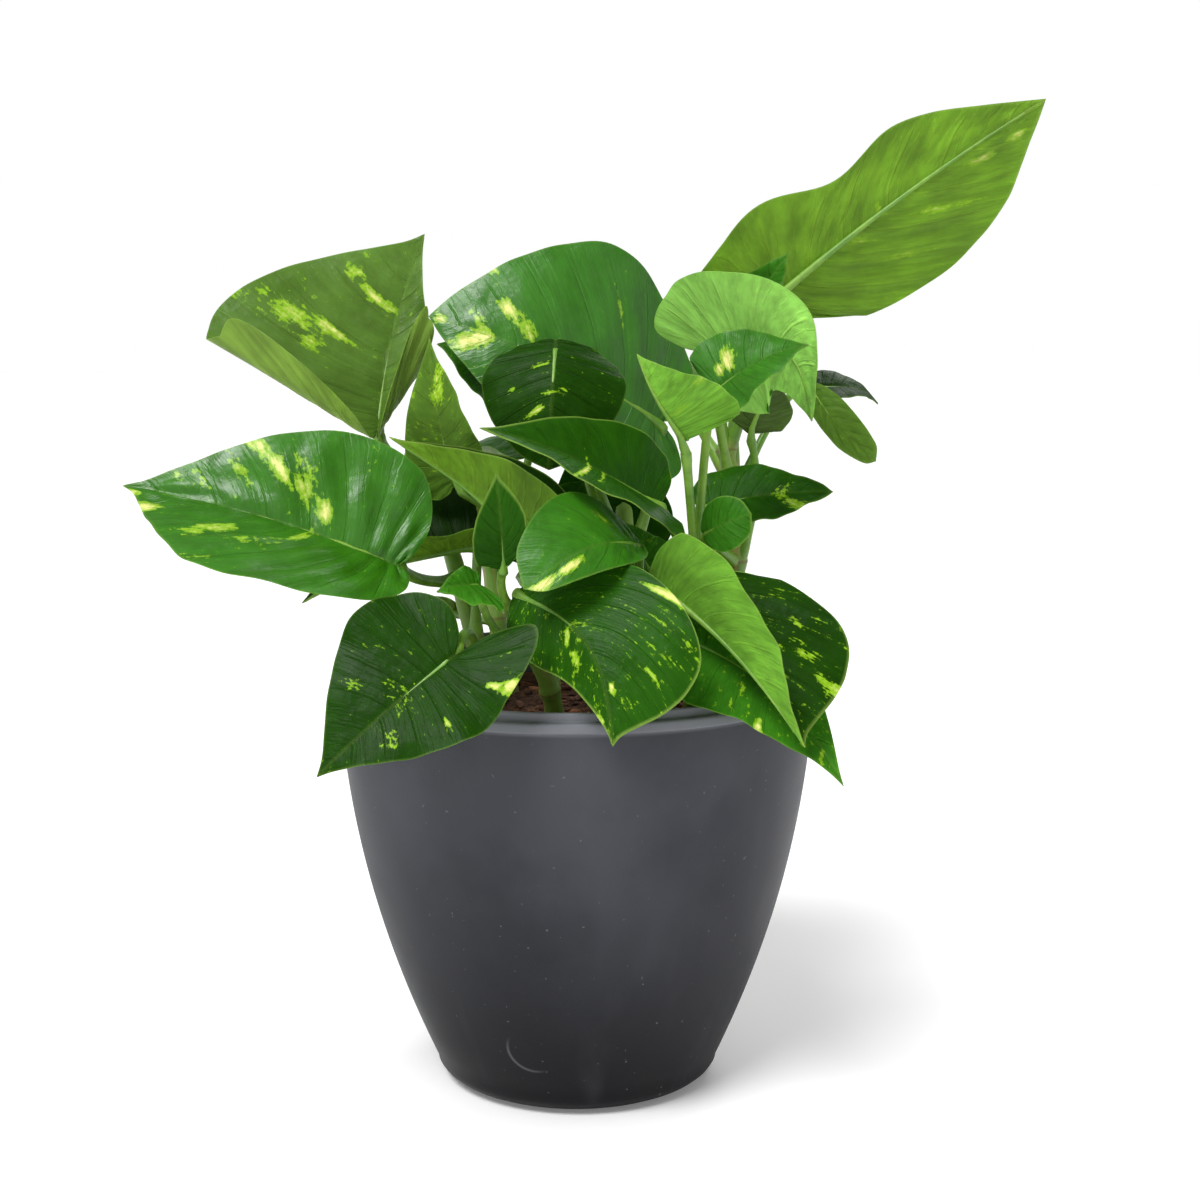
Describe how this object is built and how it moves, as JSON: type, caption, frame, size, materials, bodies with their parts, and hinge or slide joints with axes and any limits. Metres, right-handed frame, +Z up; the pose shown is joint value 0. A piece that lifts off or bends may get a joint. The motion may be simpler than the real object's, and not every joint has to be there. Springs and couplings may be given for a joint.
{
  "type": "potted pothos plant",
  "caption": "Pothos plant with heart-shaped variegated leaves on arching stalks, rooted in bark soil in a round tapered matt pot that stands on its flat base.",
  "frame": {"origin": "centre of the pot's flat underside, on the surface that the pot stands on", "axes": "+Z up along the pot's axis, -Y towards the front, +X to the right seen from the front"},
  "size_m": [0.2841, 0.2099, 0.3141],
  "materials": {
    "pot": "matte",
    "soil": "matte",
    "stem": "satin",
    "leaf": "satin"
  },
  "bodies": {
    "root": {"pot": "pot", "soil": "soil", "vine_left": "stem", "vine_back_left": "stem", "vine_front": "stem", "vine_center": "stem", "vine_right": "stem", "vine_right_back": "stem", "leaf_left_big": "leaf", "leaf_funnel": "leaf", "leaf_crown": "leaf", "leaf_arched": "leaf", "leaf_upright": "leaf", "leaf_under_crown": "leaf", "leaf_centre": "leaf", "leaf_round_young": "leaf", "leaf_folded_left": "leaf", "leaf_inner_left": "leaf", "leaf_spear_front": "leaf", "leaf_curled_front": "leaf", "leaf_rim_front": "leaf", "leaf_rim_left": "leaf", "leaf_rim_right_folded": "leaf", "leaf_rim_right_low": "leaf", "leaf_right_mid": "leaf", "leaf_top_right": "leaf", "leaf_cap": "leaf", "leaf_crescent": "leaf", "leaf_hanging_right": "leaf", "leaf_small_right": "leaf", "leaf_inner_right": "leaf", "leaf_stalk_folded": "leaf", "leaf_small_front": "leaf", "leaf_inner_patched": "leaf", "leaf_behind_cap": "leaf", "leaf_inner_centre": "leaf", "leaf_behind_centre": "leaf", "leaf_back_high": "leaf", "leaf_back_high_right": "leaf", "leaf_back_left": "leaf", "leaf_back_low": "leaf", "leaf_back_low_right": "leaf", "leaf_back_low_left": "leaf"}
  },
  "joints": []
}
